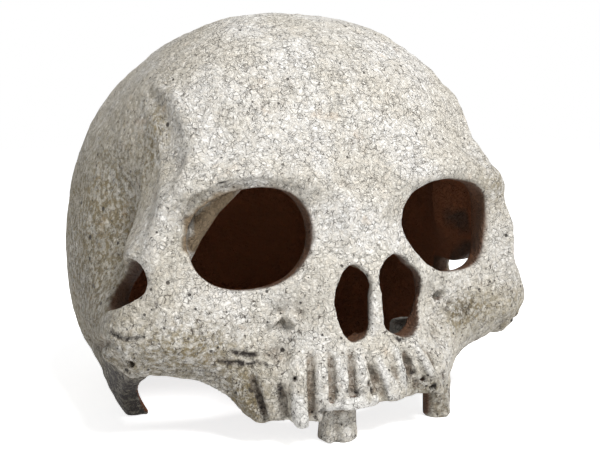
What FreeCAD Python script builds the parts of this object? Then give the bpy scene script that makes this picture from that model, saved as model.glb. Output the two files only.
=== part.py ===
# Hollow skull ornament for an aquarium, with the air line fittings that make it bubble.
#
# Frame, in millimetres: the face looks along -Y, the skull's right side is at -X, +Z is up,
# and the rim stands on Z = 0.  X = 0 is the plane between the two halves of the head.
import math
import os

import FreeCAD
import Part

V = FreeCAD.Vector
Y_AXIS = V(0, 1, 0)
Z_AXIS = V(0, 0, 1)

# ---- cast shell: the vault ----
VAULT_HALF_WIDTH = 64.0     # half the width, at the ears
VAULT_FRONT = 52.0          # from the vault's axis to the forehead
VAULT_BACK = 83.0           # from the vault's axis to the back of the head
VAULT_AXIS_Y = -10.0        # where the vault is widest
VAULT_WIDEST_Z = 46.0       # height of the widest section
VAULT_RISE = 76.0           # widest section to crown
VAULT_DROP = 70.0           # widest section down to where the taper would close
PLAN_POWER = 2.6            # squareness of a level section
SIDE_POWER = 2.2            # squareness of an upright section
WALL = 4.5                  # wall of the vault
CROWN_CUT = 0.6             # the last level section lies this far under the crown

# Swellings and hollows of the face, each given as (angle from the face in degrees, height,
# spread in degrees, spread in height, amount, share of it inside the wall, flatness).
MID_FEATURES = {
    "frontal_bulge": (0, 102, 78, 26, 5.0, 1.0, 6),
    "crown": (0, 121, 74, 7, 1.8, 1.0, 6),
    "nasal_root": (0, 66, 12, 10, 3.5, 0.5, 2),
    "nose_bridge": (0, 42, 14, 14, 7.0, 0.6, 2),
    "upper_jaw": (0, 8, 35, 22, 15.0, 0.65, 4),
}
PAIRED_FEATURES = {
    "brow": (24, 74, 14, 8, 5.5, 0.4, 2),
    "brow_corner": (48, 69, 12, 9, 8.8, 0.5, 2),
    "socket_side": (56, 52, 9, 13, 13.2, 0.5, 2),
    "cheekbone": (57, 30.5, 13, 11.5, 14.6, 0.7, 2),
    "cheek_arch": (78, 31, 16, 8, 4.0, 0.0, 2),
    "temple_hollow": (72, 62, 13, 20, -8.0, 1.0, 2),
    "mastoid": (90, 0, 13, 12, 3.5, 0.0, 2),
    "rim_taper": (120, 4, 26, 13, -2.4, 1.0, 2),
    "canine_hollow": (26, 32, 8, 8, -3.0, 1.0, 2),
}
OUTLINE_POINTS = 36         # points round one level section
SECTION_COUNT = 18          # level sections from the rim to the crown

# ---- openings through the shell; outlines are (across, up) pairs round each opening ----
RIGHT_SOCKET = ((-48.8, 56), (-44.5, 66), (-32, 70.6), (-20, 67.2), (-15.5, 56), (-20, 46.8),
                (-32, 42.4), (-44.5, 46.2))
LEFT_SOCKET = ((46.4, 57), (42.8, 67.4), (30.5, 71.6), (18.0, 68.6), (13.3, 58.5), (18.8, 49),
               (31.8, 42.7), (44.2, 45.4))
RIGHT_NOSTRIL = ((-2.2, 46), (-6, 48.4), (-10, 43), (-10.6, 35), (-6.2, 27.4), (-2.5, 31.5),
                 (-1.8, 39))
LEFT_NOSTRIL = ((2.2, 46.5), (7.5, 49.2), (14.2, 44.5), (17.2, 36), (11.5, 28.8), (3.4, 30.4),
                (1.9, 39))
# temple hole and base arch outlines are (along Y, up)
RIGHT_TEMPLE_HOLE = ((-53.4, 49.5), (-53.8, 44.5), (-49.5, 40), (-40, 37.4), (-32, 37.4),
                     (-30, 41), (-36, 46.5), (-45, 51.5))
LEFT_TEMPLE_HOLE = ((-50.5, 48), (-51, 42.5), (-44, 37.8), (-32, 35), (-20, 34), (-14.5, 36),
                    (-15.5, 39.4), (-24, 41), (-34, 43.5), (-43, 48.5))
BASE_ARCH = ((-15.5, -3), (-18, 7), (-28, 14), (-39, 18.5), (-49, 19), (-54, 9), (-56, -3))
JAW_BACK_Y = -27.0          # the jaw's broken edge runs forward of here
JAW_EDGE_Z = 10.5           # height of the broken edge on the left of the jaw
JAW_EDGE_RIGHT_Z = 7.0      # and on the right, where more of the jaw is left
JAW_STEP_X = -17.0          # where one height changes to the other
PIT_RADIUS = 1.6            # nerve pits under the sockets
PIT_DEPTH = 4.0
PIT_PLACES = ((-26, 34), (31, 36))          # (turn in degrees, height)

# ---- tooth roots, and the stumps that stand on the ground at the front ----
ROOT_TURNS = ((-21.4, -20.9), (-16.0, -15.6), (-10.9, -10.3), (-5.6, -5.0), (6.4, 0.6),
              (20.5, 12.6))             # (turn at its low end, turn at its tip)
ROOT_LOW_Z, ROOT_TIP_Z = 5.0, 27.0      # the jaw's broken edge trims the low ends
# sections of one root, from its low end to its tip: (share of its height, radius, and the
# depth of its axis under the jaw's skin)
ROOT_SECTIONS = ((0.0, 3.4, 1.2), (0.4, 3.3, 1.4), (0.75, 3.0, 1.8), (1.0, 2.0, 2.4))
FRONT_STUMP_TURN = -10.0    # block left from two broken front teeth
FRONT_STUMP_TOP = (9.8, 7.0)                # its size across and along at the jaw
FRONT_STUMP_FOOT = (10.8, 7.8)              # and on the ground
FRONT_STUMP_SINK = 6.2      # how deep its axis lies under the jaw's skin
SIDE_STUMP_TURN = 30.0      # round stump of a left molar
SIDE_STUMP_RADIUS = 4.2
SIDE_STUMP_SINK = 4.6
STUMP_OVERLAP = 4.0         # how far a stump runs up into the jaw
STUMP_WAIST_SHARE = 0.45    # the front stump's foot flares out below this share of its height
STUMP_CORNER_SHARE = 0.3    # round of its corners, as a share of its narrower side

# ---- air line: port, fitting, pipe, sleeve, clip and stone ----
LINE_X = 25.5               # the whole line lies in this plane
LINE_Z = 12.0               # height of the pipe and its port
PORT_SEAT_Y = 60.0          # flat seat of the port, outside
PORT_WALL = 6.0             # seat to the flat inside
PORT_RADIUS = 9.5           # round boss that carries the port
PORT_REACH = 6.0            # boss beyond the seat, as a collar round it
SEAT_RADIUS = 7.5
NUT_ROOM = 0.8              # room round the nut's corners inside
FITTING_RADIUS = 4.0        # threaded shank of the inlet fitting
FITTING_CLEARANCE = 0.1
FLANGE_RADIUS = 6.8
FLANGE_THICKNESS = 2.0
GASKET_THICKNESS = 1.5
NUT_ACROSS_FLATS = 13.0
NUT_CORNER_RADIUS = NUT_ACROSS_FLATS / 2.0 / math.cos(math.pi / 6.0)
NUT_HEIGHT = 4.0
SHANK_PAST_NUT = 1.5
HOSE_TAIL_RADIUS = 2.25     # pushes into soft air hose of 4 mm bore
HOSE_TAIL_LENGTH = 8.0
HOSE_LEAD_IN = 0.8          # cone at the tail's end
AIR_BORE_RADIUS = 1.1       # air way through every moulded piece
PIPE_RADIUS = 3.0
PIPE_BORE_RADIUS = 2.0
PUSH_CLEARANCE = 0.05       # radial clearance of every push-in joint of the line
SPIGOT_LENGTH = 9.0         # fitting's tail inside the pipe
STONE_Y = -46.0             # upright axis of the air stone
SLEEVE_RADIUS = 4.2
SLEEVE_LEG = 12.0           # level leg of the sleeve, from the stone's axis
SLEEVE_TOP_Z = 18.5
PIPE_INSERT = 6.0           # pipe inside the sleeve
NIPPLE_RADIUS = 2.2
NIPPLE_INSERT = 5.0         # nipple inside the sleeve
NIPPLE_END_ROOM = 0.3       # sleeve's bore runs this far past the nipple's end
NIPPLE_IN_STONE = 5.0
NIPPLE_FLANGE_RADIUS = 3.6
NIPPLE_FLANGE_THICKNESS = 1.0
STONE_RADIUS = 5.5
STONE_HEIGHT = 8.0
STONE_DOME = 2.0            # round on the stone's upper edge
CLIP_WIDTH = 10.0
CLIP_PLATE = 2.0
CLIP_LOW_Z, CLIP_HIGH_Z = 11.5, 18.5
CLIP_RING_WALL = 1.8
CLIP_RING_HEIGHT = 3.5
CLIP_MOUTH = 6.0            # gap that the sleeve snaps in through
CLIP_ROOM = 0.4             # room cut round the clip in the shell
PAD_DEPTH = 14.0            # from the seat into the jaw's wall, trimmed by the outer skin
CLIP_SEAT_Y = -53.5         # flat pad inside the jaw that the clip is bonded to

# ---- reach of the cutting tools ----
OUTSIDE = 110.0             # a distance from the middle that is clear of the shell
CUT_REACH = 30.0
OVERRUN = 1.0               # a cutter runs this far past the face it opens
FACE_BACK_Y = -32.0         # the openings of the face are cut back to here
TEMPLE_INNER_X = 48.0       # and those of the sides in to here
ARCH_INNER_X = 28.0


def bell(distance, spread, power):
    return math.exp(-abs(distance / spread) ** power)


def reach_at(turn, z, inner):
    """Distance from the vault's axis to its outer or inner skin, at a turn from the face."""
    inset = WALL if inner else 0.0
    rise = VAULT_RISE - inset if z > VAULT_WIDEST_Z else VAULT_DROP
    scale = (1.0 - (abs(z - VAULT_WIDEST_Z) / rise) ** SIDE_POWER) ** (1.0 / SIDE_POWER)
    across = abs(math.sin(math.radians(turn)))
    along = math.cos(math.radians(turn))
    length = VAULT_FRONT if along > 0 else VAULT_BACK
    reach = scale * ((across / (VAULT_HALF_WIDTH - inset)) ** PLAN_POWER
                     + (abs(along) / (length - inset)) ** PLAN_POWER) ** (-1.0 / PLAN_POWER)
    for features in (MID_FEATURES, PAIRED_FEATURES):
        for at, height, spread, tall, amount, kept, flatness in features.values():
            height_share = bell(z - height, tall, 2) * (kept if inner else 1.0)
            reach += amount * height_share * bell(abs(turn) - at, spread, flatness)
    return reach


def skin_point(turn, z, inner=False, sink=0.0):
    reach = reach_at(turn, z, inner) - sink
    angle = math.radians(turn)
    return V(reach * math.sin(angle), VAULT_AXIS_Y - reach * math.cos(angle), z)


def level_section(z, inner):
    turns = [360.0 * step / OUTLINE_POINTS - 180.0 for step in range(OUTLINE_POINTS)]
    curve = Part.BSplineCurve()
    curve.interpolate(Points=[skin_point(turn, z, inner) for turn in turns], PeriodicFlag=True,
                      Parameters=[step / OUTLINE_POINTS for step in range(OUTLINE_POINTS + 1)])
    return curve


def skin_solid(low, high, inner):
    """Closed solid through level sections that crowd together towards the crown."""
    last = SECTION_COUNT - 1
    stations = [step / last for step in range(SECTION_COUNT)]
    climbs = [(s + math.sin(0.5 * math.pi * s)) / 2.0 for s in stations]
    sections = [level_section(low + (high - low) * climb, inner) for climb in climbs]
    columns = []
    for pole in range(1, sections[0].NbPoles + 1):
        column = Part.BSplineCurve()
        column.interpolate(Points=[s.getPole(pole) for s in sections], Parameters=stations)
        columns.append(column)
    surface = Part.BSplineSurface()
    surface.buildFromPolesMultsKnots(
        [column.getPoles() for column in columns], sections[0].getMultiplicities(),
        columns[0].getMultiplicities(), sections[0].getKnots(), columns[0].getKnots(),
        True, False, 3, 3)
    caps = [Part.Face(Part.Wire([s.toShape()])) for s in (sections[0], sections[-1])]
    shell = Part.makeShell([surface.toShape()] + caps)
    shell.sewShape()
    return Part.Solid(shell)


def closed_outline(points):
    curve = Part.BSplineCurve()
    curve.interpolate(Points=points, PeriodicFlag=True)
    return Part.Wire([curve.toShape()])


def window(points, front_y, back_y):
    face = Part.Face(closed_outline([V(x, front_y, z) for x, z in points]))
    return face.extrude(V(0, back_y - front_y, 0))


def side_hole(points, low_x, high_x):
    face = Part.Face(closed_outline([V(low_x, y, z) for y, z in points]))
    return face.extrude(V(high_x - low_x, 0, 0))


def rod(radius, start, end):
    return Part.makeCylinder(radius, (end - start).Length, start, end - start)


def tooth_root(low_turn, tip_turn):
    """Root of one tooth: it follows the bulge of the jaw and dies away at its tip."""
    wires = []
    for share, radius, sink in ROOT_SECTIONS:
        turn = low_turn + (tip_turn - low_turn) * share
        centre = skin_point(turn, ROOT_LOW_Z + (ROOT_TIP_Z - ROOT_LOW_Z) * share, sink=sink)
        wires.append(Part.Wire(Part.makeCircle(radius, centre, Z_AXIS)))
    return Part.makeLoft(wires, True, False)


def block_section(size, place):
    across, along = size
    corner = STUMP_CORNER_SHARE * min(size)
    block = Part.makePlane(across, along, place - V(across / 2, along / 2, 0))
    wire = block.Wires[0]
    return Part.Wire(round_corners(wire, corner))


def round_corners(wire, radius):
    points = [vertex.Point for vertex in wire.OrderedVertexes]
    edges = []
    for here, corner, after in zip(points[-1:] + points[:-1], points, points[1:] + points[:1]):
        to_here = (here - corner).normalize() * radius
        to_after = (after - corner).normalize() * radius
        middle = corner + (to_here + to_after) * (1.0 - math.sqrt(0.5))
        edges.append(Part.Arc(corner + to_here, middle, corner + to_after).toShape())
    joined = []
    for edge, following in zip(edges, edges[1:] + edges[:1]):
        joined.append(edge)
        start, end = edge.Vertexes[-1].Point, following.Vertexes[0].Point
        joined.append(Part.makeLine(start, end))
    return joined


def front_stump():
    middle = skin_point(FRONT_STUMP_TURN, JAW_EDGE_Z, sink=FRONT_STUMP_SINK)
    sections = [(FRONT_STUMP_FOOT, 0.0), (FRONT_STUMP_TOP, STUMP_WAIST_SHARE * JAW_EDGE_Z),
                (FRONT_STUMP_TOP, JAW_EDGE_Z + STUMP_OVERLAP)]
    return Part.makeLoft([block_section(size, V(middle.x, middle.y, z)) for size, z in sections],
                         True, True)


def side_stump():
    top = skin_point(SIDE_STUMP_TURN, JAW_EDGE_Z + STUMP_OVERLAP, sink=SIDE_STUMP_SINK)
    return rod(SIDE_STUMP_RADIUS, V(top.x, top.y, 0), top)


def port_at(depth):
    """Point on the port's axis, a depth in from its outer seat."""
    return V(LINE_X, PORT_SEAT_Y - depth, LINE_Z)


def stone_at(z):
    return V(LINE_X, STONE_Y, z)


def clip_pad():
    """Block on the jaw's inside that ends in the clip's flat seat."""
    return Part.makeBox(CLIP_WIDTH, PAD_DEPTH, CLIP_HIGH_Z - CLIP_LOW_Z,
                        V(LINE_X - CLIP_WIDTH / 2, CLIP_SEAT_Y - PAD_DEPTH, CLIP_LOW_Z))


def clip_room():
    """Space kept clear for the clip's plate, from its seat back into the hollow."""
    width = CLIP_WIDTH + 2 * CLIP_ROOM
    height = CLIP_HIGH_Z - CLIP_LOW_Z + 2 * CLIP_ROOM
    return Part.makeBox(width, PAD_DEPTH, height,
                        V(LINE_X - width / 2, CLIP_SEAT_Y, CLIP_LOW_Z - CLIP_ROOM))


def skull_shell():
    crown = VAULT_WIDEST_Z + VAULT_RISE
    outer = skin_solid(0.0, crown - CROWN_CUT, False)
    inner = skin_solid(-OVERRUN, crown - WALL - CROWN_CUT, True)
    for low_turn, tip_turn in ROOT_TURNS:
        outer = outer.fuse(tooth_root(low_turn, tip_turn))
    shell = outer.cut(inner)
    shell = shell.fuse(clip_pad().common(outer)).cut(clip_room())
    boss = rod(PORT_RADIUS, port_at(PORT_WALL), port_at(-PORT_REACH))
    shell = shell.fuse(boss)
    shell = shell.cut(rod(SEAT_RADIUS, port_at(0), port_at(-CUT_REACH)))
    nut_face, beyond = port_at(PORT_WALL), port_at(PORT_WALL + CUT_REACH)
    shell = shell.cut(rod(NUT_CORNER_RADIUS + NUT_ROOM, nut_face, beyond))
    shell = shell.cut(rod(FITTING_RADIUS + FITTING_CLEARANCE, nut_face, port_at(-OVERRUN)))
    for points in (RIGHT_SOCKET, LEFT_SOCKET, RIGHT_NOSTRIL, LEFT_NOSTRIL):
        shell = shell.cut(window(points, -OUTSIDE, FACE_BACK_Y))
    for side, hole in ((-1.0, RIGHT_TEMPLE_HOLE), (1.0, LEFT_TEMPLE_HOLE)):
        shell = shell.cut(side_hole(hole, side * TEMPLE_INNER_X, side * OUTSIDE))
        shell = shell.cut(side_hole(BASE_ARCH, side * ARCH_INNER_X, side * OUTSIDE))
    jaw_depth = OUTSIDE + JAW_BACK_Y
    left_gap = Part.makeBox(OUTSIDE, jaw_depth, JAW_EDGE_Z, V(JAW_STEP_X, -OUTSIDE, 0))
    right_gap = Part.makeBox(OUTSIDE, jaw_depth, JAW_EDGE_RIGHT_Z,
                             V(JAW_STEP_X - OUTSIDE, -OUTSIDE, 0))
    shell = shell.cut(left_gap).cut(right_gap)
    for turn, z in PIT_PLACES:
        mouth = skin_point(turn, z)
        inward = V(-math.sin(math.radians(turn)), math.cos(math.radians(turn)), 0)
        shell = shell.cut(rod(PIT_RADIUS, mouth - inward * PIT_DEPTH, mouth + inward * PIT_DEPTH))
    return shell.fuse(front_stump()).fuse(side_stump())


def inlet_fitting():
    outer_end = port_at(-GASKET_THICKNESS - FLANGE_THICKNESS - HOSE_TAIL_LENGTH)
    flange_in = port_at(-GASKET_THICKNESS)
    flange_out = port_at(-GASKET_THICKNESS - FLANGE_THICKNESS)
    shank_end = port_at(PORT_WALL + NUT_HEIGHT + SHANK_PAST_NUT)
    spigot_end = shank_end - Y_AXIS * SPIGOT_LENGTH
    body = rod(FLANGE_RADIUS, flange_in, flange_out)
    body = body.fuse(rod(FITTING_RADIUS, flange_in, shank_end))
    body = body.fuse(rod(PIPE_BORE_RADIUS - PUSH_CLEARANCE, shank_end, spigot_end))
    body = body.fuse(rod(HOSE_TAIL_RADIUS, flange_out, outer_end))
    lead_in = Part.makeCone(HOSE_TAIL_RADIUS, HOSE_TAIL_RADIUS - HOSE_LEAD_IN / 2, HOSE_LEAD_IN,
                            outer_end, Y_AXIS)
    air_way = rod(AIR_BORE_RADIUS, spigot_end, outer_end + Y_AXIS * (HOSE_LEAD_IN + OVERRUN))
    return body.fuse(lead_in).cut(air_way)


def inlet_gasket():
    ring = rod(FLANGE_RADIUS, port_at(0), port_at(-GASKET_THICKNESS))
    return ring.cut(rod(FITTING_RADIUS + FITTING_CLEARANCE, port_at(0), port_at(-GASKET_THICKNESS)))


def inlet_nut():
    near = port_at(PORT_WALL)
    points = [near + V(NUT_CORNER_RADIUS * math.cos(math.pi * step / 3.0), 0,
                       NUT_CORNER_RADIUS * math.sin(math.pi * step / 3.0)) for step in range(7)]
    hexagon = Part.Face(Part.makePolygon(points)).extrude(Y_AXIS * -NUT_HEIGHT)
    bore = FITTING_RADIUS + FITTING_CLEARANCE
    beyond = near - Y_AXIS * (NUT_HEIGHT + OVERRUN)
    return hexagon.cut(rod(bore, near + Y_AXIS * OVERRUN, beyond))


def air_pipe():
    back = port_at(PORT_WALL + NUT_HEIGHT + SHANK_PAST_NUT)
    front = V(LINE_X, STONE_Y + SLEEVE_LEG - PIPE_INSERT, LINE_Z)
    return rod(PIPE_RADIUS, back, front).cut(rod(PIPE_BORE_RADIUS, back, front))


def elbow_sleeve():
    """Soft elbow: the pipe pushes into its level leg, the stone's nipple into the upright one."""
    corner = stone_at(LINE_Z)
    back = V(LINE_X, STONE_Y + SLEEVE_LEG, LINE_Z)
    top = stone_at(SLEEVE_TOP_Z)
    pipe_stop = back - Y_AXIS * PIPE_INSERT
    body = rod(SLEEVE_RADIUS, back, corner).fuse(Part.makeSphere(SLEEVE_RADIUS, corner))
    body = body.fuse(rod(SLEEVE_RADIUS, corner, top))
    body = body.cut(rod(PIPE_RADIUS, back, pipe_stop))
    body = body.cut(rod(AIR_BORE_RADIUS, back, corner))
    body = body.cut(rod(AIR_BORE_RADIUS, corner, top))
    nipple_room = NIPPLE_INSERT + NIPPLE_END_ROOM
    return body.cut(rod(NIPPLE_RADIUS + PUSH_CLEARANCE, top - Z_AXIS * nipple_room, top))


def sleeve_clip():
    """Plate bonded to the pad in the jaw, with an open ring round the sleeve."""
    plate = Part.makeBox(CLIP_WIDTH, CLIP_PLATE, CLIP_HIGH_Z - CLIP_LOW_Z,
                         V(LINE_X - CLIP_WIDTH / 2, CLIP_SEAT_Y, CLIP_LOW_Z))
    low = CLIP_HIGH_Z - CLIP_RING_HEIGHT
    ring = rod(SLEEVE_RADIUS + CLIP_RING_WALL, stone_at(low), stone_at(CLIP_HIGH_Z))
    reach = STONE_Y - CLIP_SEAT_Y - CLIP_PLATE
    arm = Part.makeBox(CLIP_MOUTH, reach, CLIP_RING_HEIGHT,
                       V(LINE_X - CLIP_MOUTH / 2, CLIP_SEAT_Y + CLIP_PLATE, low))
    hollow = rod(SLEEVE_RADIUS + PUSH_CLEARANCE, stone_at(low - OVERRUN),
                 stone_at(CLIP_HIGH_Z + OVERRUN))
    mouth = Part.makeBox(CLIP_MOUTH, 2 * SLEEVE_RADIUS, CLIP_RING_HEIGHT,
                         V(LINE_X - CLIP_MOUTH / 2, STONE_Y, low))
    return plate.fuse(ring).fuse(arm).cut(hollow).cut(mouth)


def stone_nipple():
    low = stone_at(SLEEVE_TOP_Z - NIPPLE_INSERT)
    flange_low = stone_at(SLEEVE_TOP_Z)
    flange_high = flange_low + Z_AXIS * NIPPLE_FLANGE_THICKNESS
    high = flange_high + Z_AXIS * NIPPLE_IN_STONE
    body = rod(NIPPLE_RADIUS, low, high).fuse(rod(NIPPLE_FLANGE_RADIUS, flange_low, flange_high))
    return body.cut(rod(AIR_BORE_RADIUS, low, high))


def air_stone():
    low = stone_at(SLEEVE_TOP_Z + NIPPLE_FLANGE_THICKNESS)
    block = rod(STONE_RADIUS, low, low + Z_AXIS * STONE_HEIGHT)
    top_edge = max(block.Edges, key=lambda edge: edge.BoundBox.ZMin)
    block = block.makeFillet(STONE_DOME, [top_edge])
    return block.cut(rod(NIPPLE_RADIUS, low, low + Z_AXIS * NIPPLE_IN_STONE))


PIECES = {
    "skull_shell": skull_shell,
    "inlet_fitting": inlet_fitting,
    "inlet_gasket": inlet_gasket,
    "inlet_nut": inlet_nut,
    "air_pipe": air_pipe,
    "elbow_sleeve": elbow_sleeve,
    "sleeve_clip": sleeve_clip,
    "stone_nipple": stone_nipple,
    "air_stone": air_stone,
}

os.makedirs("parts", exist_ok=True)
for name, make in PIECES.items():
    shape = make()
    print(name, "solids", len(shape.Solids), "volume", round(shape.Volume, 1),
          "valid", shape.isValid())
    shape.exportStep("parts/" + name + ".step")
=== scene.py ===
# %% [markdown]
# # A bubbling skull ornament
# The ornament is a hollow casting in pale resin, made to look like an old skull, with an air line
# hidden inside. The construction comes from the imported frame. This file gives it its looks: the
# casting is carved as a volume, as a sculptor roughs out clay, and then turned into a mesh.

# %% Load the frame
import math
import bpy
import numpy as np
import openvdb
from mathutils import Matrix, Vector
from mathutils.bvhtree import BVHTree


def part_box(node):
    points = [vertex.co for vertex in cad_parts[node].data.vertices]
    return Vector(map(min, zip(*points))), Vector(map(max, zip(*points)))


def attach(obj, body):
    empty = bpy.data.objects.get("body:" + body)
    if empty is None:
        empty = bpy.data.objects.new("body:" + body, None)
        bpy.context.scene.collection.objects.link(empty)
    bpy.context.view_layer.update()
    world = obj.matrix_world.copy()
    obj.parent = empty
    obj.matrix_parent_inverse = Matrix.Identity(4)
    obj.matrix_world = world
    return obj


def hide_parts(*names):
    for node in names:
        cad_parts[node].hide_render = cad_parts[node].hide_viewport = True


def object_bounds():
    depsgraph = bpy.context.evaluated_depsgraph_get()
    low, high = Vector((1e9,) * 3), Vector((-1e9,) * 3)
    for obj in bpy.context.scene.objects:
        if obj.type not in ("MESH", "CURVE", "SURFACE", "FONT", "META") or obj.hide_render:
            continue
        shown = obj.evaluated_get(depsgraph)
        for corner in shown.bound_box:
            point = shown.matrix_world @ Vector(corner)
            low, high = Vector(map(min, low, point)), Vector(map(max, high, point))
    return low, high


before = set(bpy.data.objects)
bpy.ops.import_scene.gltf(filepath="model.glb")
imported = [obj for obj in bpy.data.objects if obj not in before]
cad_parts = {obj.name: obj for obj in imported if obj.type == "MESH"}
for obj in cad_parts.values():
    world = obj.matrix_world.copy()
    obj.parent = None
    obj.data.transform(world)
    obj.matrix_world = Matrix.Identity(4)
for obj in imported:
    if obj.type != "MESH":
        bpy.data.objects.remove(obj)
cad_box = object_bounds()
MM = 0.001
print("CAD box", cad_box)


# %% [markdown]
# ## Camera and studio
# The view is a little from the skull's right and just above its brow. The camera is set first, so
# that every later choice can be judged from the same place.

# %% Camera
VIEW_TURN = math.radians(-27.0)
VIEW_RISE = math.radians(5.0)
VIEW_ROLL = math.radians(-0.8)
VIEW_DISTANCE = 300 * MM
VIEW_TARGET = Vector((0, -24.7, 56)) * MM
LENS = 57.6

towards_camera = Vector((math.sin(VIEW_TURN) * math.cos(VIEW_RISE),
                         -math.cos(VIEW_TURN) * math.cos(VIEW_RISE), math.sin(VIEW_RISE)))
camera_data = bpy.data.cameras.new("camera")
camera_data.lens = LENS
camera_data.clip_start = 0.01
camera = bpy.data.objects.new("camera", camera_data)
camera.location = VIEW_TARGET + towards_camera * VIEW_DISTANCE
upright = towards_camera.to_track_quat("Z", "Y").to_matrix().to_4x4()
camera.rotation_euler = (upright @ Matrix.Rotation(VIEW_ROLL, 4, "Z")).to_euler()
bpy.context.collection.objects.link(camera)
bpy.context.scene.camera = camera
bpy.context.scene.view_settings.view_transform = "Standard"
print("camera at", [round(c, 4) for c in camera.location])


# %% [markdown]
# The floor is white paper under one large lamp, as in a product studio. A glowing backdrop could
# wash the shadow out, so the glow is only there for rays that look at the paper directly, and the
# light that reaches the skull is the lamp's and a little from all round.

# %% Floor and light
FLOOR_SIZE = 40.0
FLOOR_GREY = 0.93
FLOOR_GLOW = 0.80
AMBIENT = 0.22              # what the white surroundings give the object


def plain_material(name, colour, roughness=0.5):
    material = bpy.data.materials.new(name)
    material.use_nodes = True
    shader = material.node_tree.nodes["Principled BSDF"]
    shader.inputs["Base Color"].default_value = (*colour, 1.0)
    shader.inputs["Roughness"].default_value = roughness
    return material


def seen_directly(tree):
    """1 for rays from the camera, off a shiny face or through a clear one, else 0."""
    rays = tree.nodes.new("ShaderNodeLightPath").outputs
    total = rays["Is Camera Ray"]
    for name in ("Is Glossy Ray", "Is Transmission Ray"):
        either = tree.nodes.new("ShaderNodeMath")
        either.operation = "MAXIMUM"
        tree.links.new(total, either.inputs[0])
        tree.links.new(rays[name], either.inputs[1])
        total = either.outputs[0]
    return total


def floor_paper():
    """White paper: it glows a little where it is seen, and still takes the shadow."""
    material = plain_material("floor_paper", (FLOOR_GREY,) * 3, 0.9)
    tree = material.node_tree
    shader = tree.nodes["Principled BSDF"]
    shader.inputs["Specular IOR Level"].default_value = 0.0
    shader.inputs["Emission Color"].default_value = (1.0, 1.0, 1.0, 1.0)
    glow = tree.nodes.new("ShaderNodeMath")
    glow.operation = "MULTIPLY"
    glow.inputs[1].default_value = FLOOR_GLOW
    tree.links.new(seen_directly(tree), glow.inputs[0])
    tree.links.new(glow.outputs[0], shader.inputs["Emission Strength"])
    return material


floor_mesh = bpy.data.meshes.new("floor")
half = FLOOR_SIZE / 2
floor_mesh.from_pydata([(-half, -half, 0), (half, -half, 0), (half, half, 0), (-half, half, 0)], [],
                       [(0, 1, 2, 3)])
floor = bpy.data.objects.new("floor", floor_mesh)
floor.data.materials.append(floor_paper())
bpy.context.collection.objects.link(floor)

world = bpy.data.worlds.new("studio")
world.use_nodes = True
bpy.context.scene.world = world
background = world.node_tree.nodes["Background"]
background.inputs["Color"].default_value = (1.0, 1.0, 1.0, 1.0)
strength = world.node_tree.nodes.new("ShaderNodeMix")
strength.inputs["A"].default_value = AMBIENT
strength.inputs["B"].default_value = 1.0
world.node_tree.links.new(seen_directly(world.node_tree), strength.inputs["Factor"])
world.node_tree.links.new(strength.outputs["Result"], background.inputs["Strength"])


def softbox(name, place, aim, size, watts):
    lamp = bpy.data.lights.new(name, "AREA")
    lamp.size = size
    lamp.energy = watts
    holder = bpy.data.objects.new(name, lamp)
    holder.location = place
    holder.rotation_euler = (Vector(place) - Vector(aim)).to_track_quat("Z", "Y").to_euler()
    bpy.context.collection.objects.link(holder)


HEAD = (0.0, 0.0, 0.06)
KEY_PLACE = (0.22, -1.45, 1.75)
KEY_SIZE = 0.7
KEY_WATTS = 56.0
softbox("key", KEY_PLACE, HEAD, KEY_SIZE, KEY_WATTS)
print("key light of", KEY_WATTS, "watts,", KEY_SIZE, "m wide")


# %% [markdown]
# ## Materials
# The real casting is pale resin with a fine crackle, pinholes left by air in the mould, rusty
# stains and a brown wash in every hollow. A painted image could show that, but it would blur close
# up. Small masks worked out by nodes stay sharp at any distance. Each mask is one node group, so
# that any other stone-like finish can use it with its own values.

# %% Node tools
MM_PER_METRE = 1000.0


def new_group(name, inputs, outputs):
    """An empty node group, its input node and its output node."""
    tree = bpy.data.node_groups.new(name, "ShaderNodeTree")
    for socket, kind, value in inputs:
        made = tree.interface.new_socket(socket, in_out="INPUT", socket_type="NodeSocket" + kind)
        if value is not None:
            made.default_value = value
    for socket in outputs:
        tree.interface.new_socket(socket, in_out="OUTPUT", socket_type="NodeSocketFloat")
    return tree, tree.nodes.new("NodeGroupInput").outputs, tree.nodes.new("NodeGroupOutput").inputs


def put(tree, kind, sources, **settings):
    """Adds a node; sources are sockets to link from or plain values, by input name or number."""
    node = tree.nodes.new("ShaderNode" + kind)
    for name, value in settings.items():
        setattr(node, name, value)
    for name, source in sources.items():
        if isinstance(source, bpy.types.NodeSocket):
            tree.links.new(source, node.inputs[name])
        else:
            node.inputs[name].default_value = source
    return node


def maths(tree, operation, *sources):
    return put(tree, "Math", dict(enumerate(sources)), operation=operation).outputs[0]


def step_up(tree, value, low, high, start=0.0, end=1.0):
    """Smooth rise from start to end as value goes from low to high."""
    sources = {"Value": value, "From Min": low, "From Max": high, "To Min": start, "To Max": end}
    return put(tree, "MapRange", sources, interpolation_type="SMOOTHSTEP").outputs["Result"]


def mottle(tree, vector, scale, detail=3.0, roughness=0.55):
    sources = {"Vector": vector, "Scale": scale, "Detail": detail, "Roughness": roughness}
    return put(tree, "TexNoise", sources).outputs["Fac"]


def tint(tree, factor, base, colour):
    """Base turns to colour as factor goes from 0 to 1."""
    node = tree.nodes.new("ShaderNodeMix")
    node.data_type = "RGBA"
    tree.links.new(factor, node.inputs["Factor"])
    for socket, source in ((node.inputs[6], base), (node.inputs[7], colour)):
        if isinstance(source, bpy.types.NodeSocket):
            tree.links.new(source, socket)
        else:
            socket.default_value = (*source, 1.0)
    return node.outputs[2]


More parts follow.
